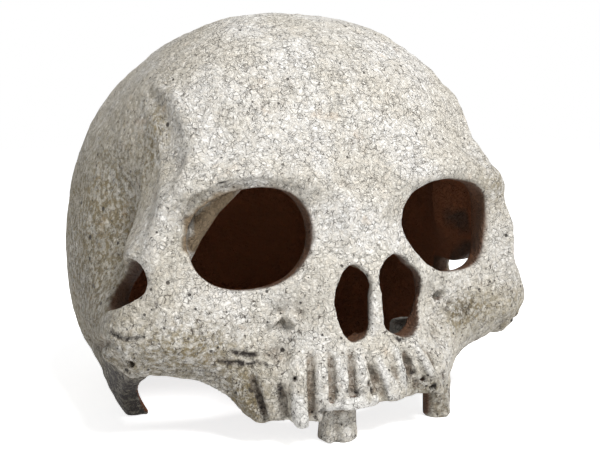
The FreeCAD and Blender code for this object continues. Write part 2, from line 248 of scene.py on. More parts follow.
# %% Crackle: flakes with thin, broken gaps
def crackle_group():
    tree, given, result = new_group(
        "crackle", [("Vector", "Vector", None), ("Size mm", "Float", 1.8), ("Gap", "Float", 0.09)],
        ["Gap", "Flake"])
    millimetres = put(tree, "VectorMath", {0: given["Vector"], 1: (MM_PER_METRE,) * 3},
                      operation="MULTIPLY").outputs[0]
    cells = put(tree, "VectorMath", {0: millimetres, "Scale": maths(tree, "DIVIDE", 1.0, given["Size mm"])},
                operation="SCALE").outputs[0]
    wobble = put(tree, "TexNoise", {"Vector": cells, "Scale": 0.9, "Detail": 2.0}).outputs["Color"]
    bent = put(tree, "VectorMath", {0: wobble, 1: (0.9, 0.9, 0.9), 2: cells},
               operation="MULTIPLY_ADD").outputs[0]
    edge = put(tree, "TexVoronoi", {"Vector": bent, "Scale": 1.0},
               feature="DISTANCE_TO_EDGE").outputs["Distance"]
    patchy = step_up(tree, mottle(tree, cells, 0.7), 0.47, 0.64)
    width = maths(tree, "MULTIPLY", given["Gap"], maths(tree, "MULTIPLY_ADD", patchy, 1.3, 0.02))
    tree.links.new(maths(tree, "SUBTRACT", 1.0, step_up(tree, edge, 0.0, width)), result["Gap"])
    flake = put(tree, "TexVoronoi", {"Vector": bent, "Scale": 1.0}, feature="F1").outputs["Color"]
    tree.links.new(put(tree, "SeparateColor", {"Color": flake}).outputs[0], result["Flake"])
    return tree


# %% Wrinkles: thin lines that wander and break off
def wrinkle_group():
    tree, given, result = new_group(
        "wrinkles", [("Vector", "Vector", None), ("Scale", "Float", 420.0), ("Width", "Float", 0.02)],
        ["Line"])
    wander = put(tree, "TexNoise", {"Vector": given["Vector"], "Scale": given["Scale"], "Detail": 2.5,
                                    "Roughness": 0.6, "Distortion": 0.8}).outputs["Fac"]
    off_line = maths(tree, "ABSOLUTE", maths(tree, "SUBTRACT", wander, 0.5))
    line = maths(tree, "SUBTRACT", 1.0, step_up(tree, off_line, 0.0, given["Width"]))
    patches = put(tree, "TexNoise", {"Vector": given["Vector"], "Detail": 2.0, "Roughness": 0.6,
                                     "Scale": maths(tree, "MULTIPLY", given["Scale"], 0.9)})
    patches = step_up(tree, patches.outputs["Fac"], 0.46, 0.60)
    tree.links.new(maths(tree, "MULTIPLY", line, patches), result["Line"])
    return tree


# %% Pinholes: sparse round pits
def pinhole_group():
    tree, given, result = new_group(
        "pinholes", [("Vector", "Vector", None), ("Spacing mm", "Float", 4.0),
                     ("Radius", "Float", 0.12), ("Share", "Float", 0.5)], ["Hole"])
    scale = maths(tree, "DIVIDE", MM_PER_METRE, given["Spacing mm"])
    cells = put(tree, "VectorMath", {0: given["Vector"], "Scale": scale}, operation="SCALE").outputs[0]
    voronoi = put(tree, "TexVoronoi", {"Vector": cells, "Scale": 1.0}, feature="F1")
    pick = put(tree, "SeparateColor", {"Color": voronoi.outputs["Color"]}).outputs
    radius = maths(tree, "MULTIPLY", given["Radius"], maths(tree, "MULTIPLY_ADD", pick[1], 1.2, 0.4))
    hole = maths(tree, "SUBTRACT", 1.0, step_up(tree, voronoi.outputs["Distance"],
                                                maths(tree, "MULTIPLY", radius, 0.6), radius))
    kept = maths(tree, "LESS_THAN", pick[0], given["Share"])
    tree.links.new(maths(tree, "MULTIPLY", hole, kept), result["Hole"])
    return tree


crackle = crackle_group()
wrinkles = wrinkle_group()
pinholes = pinhole_group()
print("groups", crackle.name, wrinkles.name, pinholes.name)


# %% Resin
PALE = (0.80, 0.765, 0.69)
CHALK = (0.93, 0.915, 0.88)
DUST = (0.56, 0.485, 0.375)
# dark brown, for the wash and the painted shade in the grooves
WASH_AND_SHADE_BROWN = (0.20, 0.145, 0.095)
CRACK = (0.085, 0.062, 0.045)
RUST = (0.58, 0.37, 0.20)
PIT = (0.03, 0.02, 0.014)
HOLLOW_BROWN = (0.30, 0.10, 0.032)
# tan, for grime together with painted shade on the sides and low down
TAN = (0.265, 0.212, 0.117)
# near black, for stains and painted shadow on the legs and low sides
STAIN_AND_SHADOW_BLACK = (0.022, 0.015, 0.011)
BONE_EDGE = (0.26, 0.19, 0.115)
SOCKET_WALL = (0.11, 0.05, 0.022)
FULL_BUMP = 0.00055         # how high a bump of 1 stands, in metres


def resin_material():
    """Pale cast resin; the mesh gives a mask for each place that the wash, the stains, the painted shade
    and the painted highlight lie.
    """
    material = bpy.data.materials.new("cast_resin")
    material.use_nodes = True
    tree = material.node_tree
    shader = tree.nodes["Principled BSDF"]
    place = put(tree, "TexCoord", {}).outputs["Object"]
    masks = {name: put(tree, "Attribute", {}, attribute_name=name).outputs["Fac"]
             for name in ("inside", "nose_wall", "socket_wall", "wash_and_shade", "root_highlight", "grime_and_shade", "stain_and_shadow", "porous")}

    fine = put(tree, "Group", {"Vector": place, "Size mm": 1.5, "Gap": 0.10}, node_tree=crackle)
    lines = put(tree, "Group", {"Vector": place, "Scale": 430.0, "Width": 0.022}, node_tree=wrinkles)
    hairs = put(tree, "Group", {"Vector": place, "Scale": 900.0, "Width": 0.03}, node_tree=wrinkles)
    coarse = put(tree, "Group", {"Vector": place, "Size mm": 4.6, "Gap": 0.05}, node_tree=crackle)
    specks = put(tree, "Group", {"Vector": place, "Spacing mm": 2.2, "Radius": 0.15,
                                 "Share": masks["porous"]}, node_tree=pinholes)
    holes = put(tree, "Group", {"Vector": place, "Spacing mm": 5.0, "Radius": 0.11,
                                "Share": maths(tree, "MULTIPLY_ADD", masks["grime_and_shade"], 0.5, 0.10)},
                node_tree=pinholes)

    cloud = step_up(tree, mottle(tree, place, 60.0), 0.38, 0.66)
    grain = step_up(tree, mottle(tree, place, 900.0, 4.0, 0.7), 0.40, 0.62)
    blots = step_up(tree, mottle(tree, place, 260.0, 4.0, 0.65), 0.36, 0.64)
    colour = tint(tree, cloud, PALE, CHALK)
    colour = tint(tree, maths(tree, "MULTIPLY", grain, 0.30), colour, DUST)
    colour = tint(tree, maths(tree, "MULTIPLY", fine.outputs["Flake"], 0.16), colour, DUST)
    flecks = step_up(tree, mottle(tree, place, 620.0, 4.0, 0.7), 0.40, 0.60)
    patchy = maths(tree, "MULTIPLY_ADD", blots, 0.25, maths(tree, "MULTIPLY_ADD", flecks, 0.70, 0.22))
    # Tan grime with painted shade: darker on the sides, towards the bottom and in blotches.
    grimy_shade = maths(tree, "MULTIPLY", masks["grime_and_shade"], patchy)
    colour = tint(tree, grimy_shade, colour, TAN)
    # Painted highlight on the proud roots.
    colour = tint(tree, maths(tree, "MULTIPLY", masks["root_highlight"], 0.75), colour, CHALK)
    rusty = step_up(tree, mottle(tree, place, 140.0, 4.0, 0.6), 0.60, 0.78)
    colour = tint(tree, maths(tree, "MULTIPLY", rusty, 0.32), colour, RUST)
    broken = step_up(tree, mottle(tree, place, 1100.0, 2.0), 0.49, 0.60)
    inky = maths(tree, "MULTIPLY", broken, maths(tree, "MULTIPLY_ADD", masks["porous"], 0.9, 0.7))
    for mask, amount in ((fine.outputs["Gap"], 0.90), (lines.outputs["Line"], 1.0),
                         (coarse.outputs["Gap"], 0.45)):
        colour = tint(tree, maths(tree, "MULTIPLY", inky, maths(tree, "MULTIPLY", mask, amount)),
                      colour, CRACK)
    colour = tint(tree, maths(tree, "MULTIPLY", hairs.outputs["Line"], 0.30), colour, DUST)
    # Brown wash in the grooves, with painted shade in the creases and between the roots.
    wash_and_shade_amount = maths(tree, "MULTIPLY", masks["wash_and_shade"], maths(tree, "MULTIPLY_ADD", blots, 0.6, 0.45))
    colour = tint(tree, wash_and_shade_amount, colour, WASH_AND_SHADE_BROWN)
    colour = tint(tree, maths(tree, "MULTIPLY", specks.outputs["Hole"], 0.85), colour, PIT)
    colour = tint(tree, maths(tree, "MULTIPLY", holes.outputs["Hole"], 0.9), colour, PIT)
    # Near-black stain, partly painted shadow on the legs and low on the sides.
    sooty_shadow = maths(tree, "MULTIPLY", masks["stain_and_shadow"], maths(tree, "MULTIPLY_ADD", flecks, 0.7, 0.55))
    colour = tint(tree, sooty_shadow, colour, STAIN_AND_SHADOW_BLACK)
    colour = tint(tree, masks["nose_wall"], colour, BONE_EDGE)
    colour = tint(tree, masks["inside"], colour, HOLLOW_BROWN)
    colour = tint(tree, masks["socket_wall"], colour, SOCKET_WALL)
    tree.links.new(colour, shader.inputs["Base Color"])
    tree.links.new(maths(tree, "MULTIPLY_ADD", masks["root_highlight"], -0.3, 0.72), shader.inputs["Roughness"])

    crumple = mottle(tree, place, 420.0, 3.0, 0.6)
    height = maths(tree, "MULTIPLY_ADD", crumple, 2.4, maths(tree, "MULTIPLY", grain, 0.5))
    height = maths(tree, "MULTIPLY_ADD", fine.outputs["Gap"], -0.9, height)
    height = maths(tree, "MULTIPLY_ADD", lines.outputs["Line"], -0.8, height)
    height = maths(tree, "MULTIPLY_ADD", coarse.outputs["Gap"], -0.6, height)
    height = maths(tree, "MULTIPLY_ADD", specks.outputs["Hole"], -1.5, height)
    height = maths(tree, "MULTIPLY_ADD", holes.outputs["Hole"], -2.5, height)
    bump = put(tree, "Bump", {"Strength": 1.0, "Distance": FULL_BUMP, "Height": height})
    tree.links.new(bump.outputs["Normal"], shader.inputs["Normal"])
    return material


resin = resin_material()
print(resin.name, "has", len(resin.node_tree.nodes), "nodes")


# %% [markdown]
# ## The casting as a volume
# The skull could be sculpted by hand or pushed about by displacement, but a displaced skin tears
# at thin walls and a sculpture has no sizes to read. A level set stores, in every small cube of
# space, how far the nearest surface is. Joining, cutting and rounding are then one line of
# arithmetic each, and the result is always a closed skin. The blank is the frame's own shell, so
# the carving can't drift away from the construction.

# %% Volume tools
STEP = 0.65 * MM            # size of one cube
BAND = 8                    # how many cubes each side of the skin hold a true distance
MARGIN = 5                  # empty cubes round the blank
LAST_CELL = 1.001           # keeps a looked-up place one whole cell inside its table


class Clay:
    """A block of distances in millimetres, negative inside the resin."""

    def __init__(self, node, step=STEP, band=BAND):
        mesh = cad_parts[node].data
        mesh.calc_loop_triangles()
        points = np.empty(len(mesh.vertices) * 3, np.float32)
        mesh.vertices.foreach_get("co", points)
        triangles = np.empty(len(mesh.loop_triangles) * 3, np.int32)
        mesh.loop_triangles.foreach_get("vertices", triangles)
        low, high = (np.array(corner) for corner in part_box(node))
        self.step = step
        self.low = low - MARGIN * step
        shape = np.ceil((high - low) / step).astype(int) + 2 * MARGIN + 1
        local = (points.reshape(-1, 3) - self.low) / step
        grid = openvdb.FloatGrid.createLevelSetFromPolygons(
            local.astype(np.float32), triangles=triangles.reshape(-1, 3).astype(np.uint32),
            transform=openvdb.createLinearTransform(1.0), halfWidth=float(band))
        self.field = np.full(shape, float(band), np.float32)
        grid.copyToArray(self.field)
        self.field *= step / MM

    def block(self, low, high):
        """Index slices and millimetre coordinates of the cubes between two corners in mm."""
        first = np.floor((np.array(low) * MM - self.low) / self.step).astype(int)
        last = np.ceil((np.array(high) * MM - self.low) / self.step).astype(int) + 1
        first = np.clip(first, 0, self.field.shape)
        last = np.clip(last, 0, self.field.shape)
        slices = tuple(slice(a, b) for a, b in zip(first, last))
        axes = [(self.low[i] + self.step * np.arange(first[i], last[i])) / MM for i in range(3)]
        return slices, np.meshgrid(*axes, indexing="ij", sparse=True)

    def soften(self, passes):
        """Rounds edges by averaging each cube with its neighbours along each axis."""
        for _ in range(passes):
            for axis in range(3):
                self.field = (np.roll(self.field, 1, axis) + 2 * self.field
                              + np.roll(self.field, -1, axis)) / 4

    def add(self, low, high, distance, blend):
        slices, grid = self.block(low, high)
        self.field[slices] = smooth_min(self.field[slices], distance(*grid), blend)

    def cut(self, low, high, distance, blend):
        slices, grid = self.block(low, high)
        self.field[slices] = -smooth_min(-self.field[slices], distance(*grid), blend)

    def volume(self):
        """How much resin the block holds, in cubic centimetres."""
        return round(float((self.field < 0).sum()) * (100.0 * self.step) ** 3, 2)

    def mesh(self, name, merging):
        """The skin as a mesh; merging joins faces where the skin is smooth."""
        grid = openvdb.FloatGrid(float(self.field.max()))
        grid.copyFromArray(np.ascontiguousarray(self.field))
        points, triangles, quads = grid.convertToPolygons(isovalue=0.0, adaptivity=merging)
        faces = triangles.tolist() + quads.tolist()
        made = bpy.data.meshes.new(name)
        made.from_pydata((points * self.step + self.low).tolist(), [], faces)
        made.shade_smooth()
        piece = bpy.data.objects.new(name, made)
        bpy.context.collection.objects.link(piece)
        print(name, len(points), "points", len(triangles) + 2 * len(quads), "triangles")
        return piece

    def sample(self, field, points):
        """Values of a field of this block at points in metres."""
        place = np.clip((points - self.low) / self.step, 0, np.array(field.shape) - LAST_CELL)
        cell = place.astype(int)
        share = place - cell
        value = np.zeros(len(points), np.float32)
        for corner in np.ndindex(2, 2, 2):
            weight = np.prod(np.where(corner, share, 1.0 - share), axis=1)
            value += weight * field[tuple((cell + corner).T)]
        return value


def smooth_min(a, b, blend):
    """The nearer of two distances, with the corner between them filled by a fillet."""
    if blend <= 0:
        return np.minimum(a, b)
    share = np.clip(0.5 + 0.5 * (b - a) / blend, 0.0, 1.0)
    return b + (a - b) * share - blend * share * (1.0 - share)


# %% Ways to point at the casting
AXIS_Y = -10.0              # the upright axis that the head is laid out round
JAW_EDGE = 11.5             # a ray lower than this would pass under the jaw's broken edge
OUTSIDE = 150.0             # rays start this far out, well clear of the skull
cad_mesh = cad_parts["skull_shell"].data
cad_tree = BVHTree.FromPolygons([v.co / MM for v in cad_mesh.vertices],
                                [tuple(p.vertices) for p in cad_mesh.polygons])


def outward(turn):
    angle = math.radians(turn)
    return Vector((math.sin(angle), -math.cos(angle), 0.0))


def skin(turn, height, sink=0.0):
    """Point on the casting's outside at a turn from the face, or a depth under it, in mm."""
    way = outward(turn)
    level = max(height, JAW_EDGE)
    hit = cad_tree.ray_cast(Vector((0, AXIS_Y, level)) + way * OUTSIDE, -way)[0]
    return Vector((hit.x, hit.y, height)) - way * sink


def chain(stations):
    """Balls on the skin, each given as (turn, height, sink, radius), for along()."""
    return [(*skin(turn, height, sink), radius) for turn, height, sink, radius in stations]


def along(balls, x, y, z):
    """Distance to a chain of balls joined by tapering links."""
    nearest = None
    for start, end in zip(balls, balls[1:]):
        ax, ay, az, start_radius = start
        spans = [e - s for s, e in zip(start[:3], end[:3])]
        share = ((x - ax) * spans[0] + (y - ay) * spans[1] + (z - az) * spans[2])
        share = np.clip(share / sum(span * span for span in spans), 0.0, 1.0)
        gap = np.sqrt((x - ax - share * spans[0]) ** 2 + (y - ay - share * spans[1]) ** 2
                      + (z - az - share * spans[2]) ** 2)
        gap = gap - start_radius - share * (end[3] - start_radius)
        nearest = gap if nearest is None else np.minimum(nearest, gap)
    return nearest


SPARE = 2.0                 # room left round a chain of balls, in mm


def reach_of(balls, blend):
    """Corners, in mm, of the box that a chain of balls and its fillet can change."""
    low = [min(ball[i] - ball[3] for ball in balls) - blend - SPARE for i in range(3)]
    high = [max(ball[i] + ball[3] for ball in balls) + blend + SPARE for i in range(3)]
    return low, high


def ridge(clay, stations, blend):
    balls = chain(stations)
    clay.add(*reach_of(balls, blend), lambda x, y, z: along(balls, x, y, z), blend)


def groove(clay, stations, blend):
    balls = chain(stations)
    clay.cut(*reach_of(balls, blend), lambda x, y, z: along(balls, x, y, z), blend)


def both_sides(stations):
    return [stations, [(-turn, height, sink, radius) for turn, height, sink, radius in stations]]


def front(x, height, sink=0.0):
    """Point on the casting's front at a place across and a height, or a depth behind it, in mm."""
    hit = cad_tree.ray_cast(Vector((x, -OUTSIDE, height)), Vector((0, 1, 0)))[0]
    return hit + Vector((0, sink, 0))


clay = Clay("skull_shell")
clay.soften(1)
print("blank of", clay.volume(), "cm3")


# %% [markdown]
# ### Brow, temple and cheek
# A skull's temple is a shallow hollow with a raised line in front of it, and the brow rolls over
# each orbit. Each form is a chain of balls sunk in the skin, given by turn, height, sink and radius.
# A ridge is joined on and a groove is cut, both with a fillet. A chain of balls follows the head's
# curve by itself, which a box or a cylinder wouldn't.

# %% Brow and temple
TEMPLE_LINE = [(64, 97.5, 1.6, 1.8), (56, 94, 1.2, 2.2), (51, 88, 1.0, 2.4), (47.4, 81, 1.2, 2.5),
               (45.8, 75, 1.8, 3.0)]
TEMPLE_EDGE = [(66.5, 96, -3.9, 4.4), (60.0, 91, -4.4, 5.3), (55.8, 85.5, -4.9, 6.1),
               (52.8, 79, -5.1, 6.3), (51.8, 73.5, -5.0, 5.8)]
TEMPLE_TROUGH = [(72, 92, -12.0, 12.0), (66.5, 84, -12.2, 12.3), (62, 76, -12.4, 12.4),
                 (60.5, 69, -12.8, 12.4)]
BROW_ROLL = [(13, 70.5, 2.4, 3.0), (21, 73.5, 2.4, 3.7), (31, 74.8, 2.4, 3.9), (40, 73.2, 2.6, 3.9),
             (46, 69.5, 2.8, 3.4)]
ORBIT_WALL = [(52.5, 64, 2.0, 2.6), (52.3, 54, 1.5, 2.4), (52, 45, 1.5, 2.4), (51, 37, 2.0, 2.4),
              (50, 30, 3.0, 3.0)]
for line in both_sides(TEMPLE_LINE):
    ridge(clay, line, 2.5)
for line in both_sides(ORBIT_WALL):
    ridge(clay, line, 2.5)
for line in both_sides(TEMPLE_TROUGH):
    groove(clay, line, 4.0)
for line in both_sides(TEMPLE_EDGE):
    groove(clay, line, 1.0)
for line in both_sides(BROW_ROLL):
    ridge(clay, line, 2.5)
BETWEEN_BROWS = [(-5, 71, -3.4, 4.5), (3, 71, -3.4, 4.5)]
groove(clay, BETWEEN_BROWS, 3.0)
SOCKET_BEVEL = [(-46.4, 55, -0.4, 1.6), (-45.8, 61, -0.3, 2.2), (-43.6, 66.6, -0.2, 2.4),
                (-37.5, 70.2, -0.3, 2.0), (-30, 71.0, -0.6, 1.6), (-22, 69.4, -0.8, 1.4)]
groove(clay, SOCKET_BEVEL, 0.8)
# Low wall inside the right orbit's outer edge, as x, y, z and radius.
INNER_ORBIT = [(-47.0, -47.5, 50.0, 1.6), (-44.8, -48.5, 58.0, 3.2), (-41.0, -50.5, 65.0, 3.6),
               (-34.0, -54.0, 70.0, 1.6)]
clay.add(*reach_of(INNER_ORBIT, 1.0), lambda x, y, z: along(INNER_ORBIT, x, y, z), 1.0)
print("with brow and temple", clay.volume(), "cm3")


# %% [markdown]
# ### Nose and cheek
# The nasal opening is split by a thin bar. Both holes are bored straight back, which keeps their
# edges crisp, and the bar and the left side wall are then thinned from behind, where it is out of
# view, so that the hollow shows through.

# %% Nose and cheek
FOSSA = [(24, 35, -2.4, 4.2), (27, 28, -2.2, 4.4)]
for line in both_sides(FOSSA):
    groove(clay, line, 4.0)
NOSE_SIDE = [(6.5, 66, 1.2, 2.2), (5.5, 58, 1.4, 2.2), (5, 53, 1.8, 2.0)]
for line in both_sides(NOSE_SIDE):
    ridge(clay, line, 2.5)


def bore_through(clay, discs, front_y, back_y, blend):
    """Cuts a chain of discs, each given as (x, z, radius), straight through from front to back."""
    balls = [(x, front_y, z, radius) for x, z, radius in discs]
    low, high = reach_of(balls, blend)
    high[1] = back_y
    clay.cut(low, high, lambda x, y, z: along(balls, x, front_y, z), blend)


RIGHT_NOSTRIL = [(-5.3, 42.8, 3.4), (-6.1, 38, 4.5), (-5.4, 31.6, 3.7)]
LEFT_NOSTRIL = [(9.2, 43.6, 6.6), (11.2, 38.4, 9.3), (11.2, 35.2, 8.2)]
NOSE_FRONT = -82.0
bore_through(clay, RIGHT_NOSTRIL, NOSE_FRONT, -52.0, 0.4)
bore_through(clay, LEFT_NOSTRIL, NOSE_FRONT, -44.0, 0.4)
NOSE_THINNING = [[(0.0, -63.6, 32.0, 4.0), (0.0, -63.2, 44.0, 4.0)],
                 [(19.0, -54.4, 31.0, 3.4), (19.0, -54.6, 36.0, 3.4), (17.0, -56.4, 42.0, 3.4)]]
for balls in NOSE_THINNING:
    clay.cut(*reach_of(balls, 0.5), lambda x, y, z, balls=balls: along(balls, x, y, z), 0.5)
print("with the nose", clay.volume(), "cm3")


# %% [markdown]
# ### Pits and cracks
# Old bone has pits with raised lips and short cracks that open and close. Grooves with hardly any
# fillet keep their edges sharp. The wash will settle in the same lines later.

# %% Pits and cracks
CHEEK_PIT = [(-25.0, 32.3, -1.0, 1.7), (-25.0, 31.9, 1.6, 1.0)]
groove(clay, CHEEK_PIT, 0.8)
LEFT_PIT_FILL = [(30.6, 36.0, 2.2, 2.2), (31.4, 36.0, 2.2, 2.2)]
ridge(clay, LEFT_PIT_FILL, 0.6)
SMALL_PITS = [(30.0, 35.6, 0.8), (33.4, 33.8, 0.9), (38.7, 30.4, 1.0), (41.0, 33.0, 0.7)]
for turn, height, radius in SMALL_PITS:
    groove(clay, [(turn, height, -0.3, radius), (turn + 0.4, height - 0.5, 0.8, 0.7 * radius)], 0.5)
PIT_LIP = [(-28.5, 33.6, 0.2, 0.9), (-25.5, 35.0, 0.2, 1.1), (-22.0, 33.8, 0.2, 0.9)]
ridge(clay, PIT_LIP, 1.2)
CRACKS = [[(-38, 26.4, 0.0, 0.6), (-34, 25.2, 0.1, 0.7), (-30.5, 25.6, 0.0, 0.5)],
          [(-36, 22.8, 0.0, 0.4), (-32, 23.4, 0.1, 0.5), (-28.5, 22.6, 0.0, 0.4)],
          [(-41.5, 24.0, 0.0, 0.4), (-38, 23.2, 0.1, 0.5), (-35.5, 23.8, 0.0, 0.4)],
          [(-26.5, 28.6, 0.0, 0.5), (-25.0, 26.0, 0.1, 0.6), (-23.6, 24.6, 0.0, 0.4)],
          [(-60.0, 33.0, 0.0, 0.4), (-56.6, 31.8, 0.1, 0.5), (-53.5, 32.4, 0.0, 0.4)],
          [(-43.4, 71.2, 0.0, 0.4), (-40.6, 72.0, 0.1, 0.6), (-37.6, 71.6, 0.0, 0.4)],
          [(27.0, 31.0, 0.0, 0.4), (30.0, 32.0, 0.1, 0.6), (33.0, 31.6, 0.0, 0.5)],
          [(5.6, 28.2, 0.0, 0.4), (7.4, 26.6, 0.1, 0.6), (9.4, 27.0, 0.0, 0.5)]]
for line in CRACKS:
    groove(clay, line, 0.5)
print(len(SMALL_PITS), "small pits,", len(CRACKS), "cracks")


# %% Ear lobe, knob and ledge
EAR_LOBE = [(64, 26.5, 1.4, 3.0), (60.5, 22.5, 1.4, 3.2)]
for line in both_sides(EAR_LOBE):
    ridge(clay, line, 1.6)
EAR_KNOB = [(57.6, 26.0, 0.6, 2.2), (57.0, 22.6, 0.6, 2.4)]
for line in both_sides(EAR_KNOB):
    ridge(clay, line, 1.2)
KNOB_DENT = [(57.4, 25.0, -1.6, 1.2), (57.4, 24.6, 0.6, 1.0)]
for line in both_sides(KNOB_DENT):
    groove(clay, line, 0.6)
LEDGE = [(112, 24, -0.4, 0.9), (99, 20.6, -0.3, 1.2), (88, 21.0, -0.2, 1.4), (81, 23, -0.3, 1.3),
         (70, 28, -0.3, 1.1), (60, 30.4, -0.3, 0.9)]
for line in both_sides(LEDGE):
    groove(clay, line, 1.0)
print("with ears and ledge", clay.volume(), "cm3")


# %% [markdown]
# ### Broken jaw
# The jaw is the busiest part: root after root with a dark gap between, slanted plates of bone,
# deep pockets where teeth are gone, and a smooth lobe on the right. Every one could be a mesh of
# its own, but the real jaw is one casting, so they are joined to and cut from the same clay.

# %% Right of the jaw: lobe, hanging root and gum
LOBE = [(-37.5, 18.5, 1.6, 2.8), (-34.8, 13.5, 1.0, 3.2), (-31.8, 9.5, 1.2, 3.0)]
ridge(clay, LOBE, 2.5)
LOBE_RIM = [(-31.1, 19.5, 0.2, 0.9), (-29.5, 14.4, 0.0, 1.1), (-28.4, 8.5, 0.1, 1.1)]
ridge(clay, LOBE_RIM, 1.0)
LOBE_GROOVE = [(-33.4, 18.5, -0.2, 0.7), (-31.6, 14, -0.1, 0.9), (-30.2, 8.0, -0.1, 0.9)]
groove(clay, LOBE_GROOVE, 0.7)
JAGGED_GAP = [(-26.6, 17.4, 0.0, 0.5), (-25.8, 14.0, 0.6, 0.9), (-25.2, 8.4, 0.8, 1.2)]
groove(clay, JAGGED_GAP, 0.7)
GUM_BAND = [(-13.4, 12.4, 0.3, 1.9), (-8.5, 12.2, 0.1, 2.1), (-2.0, 11.8, 0.4, 1.9)]
ridge(clay, GUM_BAND, 0.9)
GUM_LINE = [(-12.6, 15.4, -0.1, 0.5), (-9.4, 15.3, 0.2, 0.7), (-2.9, 14.5, 0.3, 0.8)]
groove(clay, GUM_LINE, 0.5)
ROOTS = [(-16.1, -15.8), (-11.0, -10.6), (-5.7, -5.2)]
for low_turn, high_turn in ROOTS:
    ridge(clay, [(high_turn, 25.5, 1.6, 1.7), (low_turn, 20.0, 1.2, 1.9), (low_turn, 13.5, 1.2, 2.0)], 0.8)
HANGING_ROOT = [(-22.4, 23.0, 1.6, 1.8), (-21.6, 15.0, 1.4, 2.4), (-21.0, 8.4, 1.2, 2.6)]
ridge(clay, HANGING_ROOT, 0.8)
ROOT_GAPS = [(-18.8, 25.4, 8.0), (-13.5, 25.4, 13.5), (-8.2, 25.0, 14.5)]
for turn, top, bottom in ROOT_GAPS:
    middle = (top + bottom) / 2.0
    groove(clay, [(turn + 0.3, top, -0.5, 0.8), (turn, middle, 0.1, 1.0), (turn - 0.3, bottom, 0.0, 1.0)],
           0.9)
print(len(ROOTS) + 1, "roots,", len(ROOT_GAPS), "gaps")


# %% Left of the jaw: plates and pockets
PLATES = [[(-0.5, 23.4, 0.2, 0.9), (1.3, 17.5, -0.1, 1.2), (2.4, 12.5, 0.1, 1.1)],
          [(5.2, 25.0, 0.2, 0.9), (6.4, 19.0, -0.1, 1.2), (6.8, 12.8, 0.1, 1.1)],
          [(12.4, 25.4, 0.2, 1.0), (14.8, 17.8, -0.1, 1.4), (20.6, 10.5, 0.2, 1.3)]]
for line in PLATES:
    ridge(clay, line, 1.0)
TOOTH_POCKETS = [(-2.4, 19.0, 1.3, 0.8), (3.9, 18.6, 1.1, 0.3), (9.4, 19.8, 1.9, 1.2),
                 (11.8, 14.0, 1.5, 0.5), (17.8, 19.0, 1.4, 0.2)]
for turn, height, radius, depth in TOOTH_POCKETS:
    groove(clay, [(turn - 0.6, height + 1.8 * radius, 0.0, 0.5 * radius), (turn, height, depth, radius),
                  (turn + 0.8, height - 1.8 * radius, 0.0, 0.6 * radius)], 0.8)
BURST_HOLES = [(-16.0, 10.5, 1.1), (-3.8, 16.8, 0.8), (16.4, 12.6, 1.0), (24.0, 14.0, 1.1),
               (-22.6, 19.5, 0.7), (-27.0, 31.0, 0.6), (-23.4, 29.0, 0.7), (9.0, 21.5, 0.8),
               (11.0, 17.5, 0.8), (7.9, 16.2, 0.7), (14.0, 15.0, 0.7), (26.5, 17.0, 0.7)]
BURST_LINES = [[(turn, height, -0.4, radius), (turn, height - 0.2, 1.2, 0.7 * radius)]
               for turn, height, radius in BURST_HOLES]
for line in BURST_LINES:
    groove(clay, line, 0.4)
print(len(PLATES), "plates,", len(TOOTH_POCKETS), "pockets,", len(BURST_HOLES), "small holes")


# %% Front stump: two teeth broken off side by side
STUMP_X = -11.6
STUMP_TEETH = (-3.0, 2.6)   # how far each tooth stands to the side of the stump's middle
for side in STUMP_TEETH:
    clay.add(*reach_of([(*front(STUMP_X + side, 5.0, 2.0), 3.0)], 1.5),
             lambda x, y, z, side=side: along([(*front(STUMP_X + side, 8.5, 2.0), 2.4),
                                               (*front(STUMP_X + side, 1.8, 2.0), 2.7)], x, y, z), 1.0)
STUMP_SPLIT = [(*front(STUMP_X - 0.6, 8.5, -0.3), 0.7), (*front(STUMP_X - 0.3, 4.0, -0.1), 1.0),
               (*front(STUMP_X, 0.6, 0.0), 1.1)]
clay.cut(*reach_of(STUMP_SPLIT, 1.0), lambda x, y, z: along(STUMP_SPLIT, x, y, z), 0.7)
print("with the jaw", clay.volume(), "cm3")


# %% [markdown]
# ### Surface relief
# A hand-made master is never smooth. Random lumps of four sizes are added to the outside only, so
# that the wall keeps its thickness within. The seed is fixed, so every run gives the same ones.

# %% Surface relief
rng = np.random.default_rng(11)


def lumps(clay, cell_mm):
    """Smooth noise from 0 to 1 over the whole block, with lumps about cell_mm wide."""
    cubes = [max(2, int(round(n * clay.step / MM / cell_mm))) + 3 for n in clay.field.shape]
    noise_field = rng.random(cubes, dtype=np.float32)
    for axis, count in enumerate(clay.field.shape):
        place = np.arange(count) * clay.step / MM / cell_mm
        cell = np.minimum(place.astype(int), cubes[axis] - 2)
        share = np.clip(place - cell, 0.0, 1.0)
        share = (share * share * (3.0 - 2.0 * share)).astype(np.float32)
        shape = [1, 1, 1]
        shape[axis] = count
        share = share.reshape(shape)
        near = np.take(noise_field, cell, axis)
        far = np.take(noise_field, cell + 1, axis)
        noise_field = near + (far - near) * share
    return noise_field


def outer_share(clay):
    """1 where the nearest skin faces away from the middle of the head, 0 where it faces in."""
    slopes = np.gradient(clay.field)
    centre = (HEAD_CENTRE - clay.low) / clay.step
    places = np.ogrid[tuple(slice(0, n) for n in clay.field.shape)]
    rays = [place - c for place, c in zip(places, centre)]
    length = np.sqrt(sum(ray * ray for ray in rays))
    facing = sum(slope * ray for slope, ray in zip(slopes, rays)) / length
    return np.clip(1.2 * facing * MM / clay.step + 0.1, 0.0, 1.0)


HEAD_CENTRE = np.array([0.0, AXIS_Y, 50.0]) * MM
LUMP_SIZES = ((16.0, 0.7), (6.5, 0.5), (2.8, 0.45), (1.5, 0.25))      # (width, depth) in mm
relief = sum(depth * (lumps(clay, width) - 0.5) for width, depth in LUMP_SIZES)
clay.field += relief * outer_share(clay)
print("relief from", round(float(relief.min()), 2), "to", round(float(relief.max()), 2), "mm")


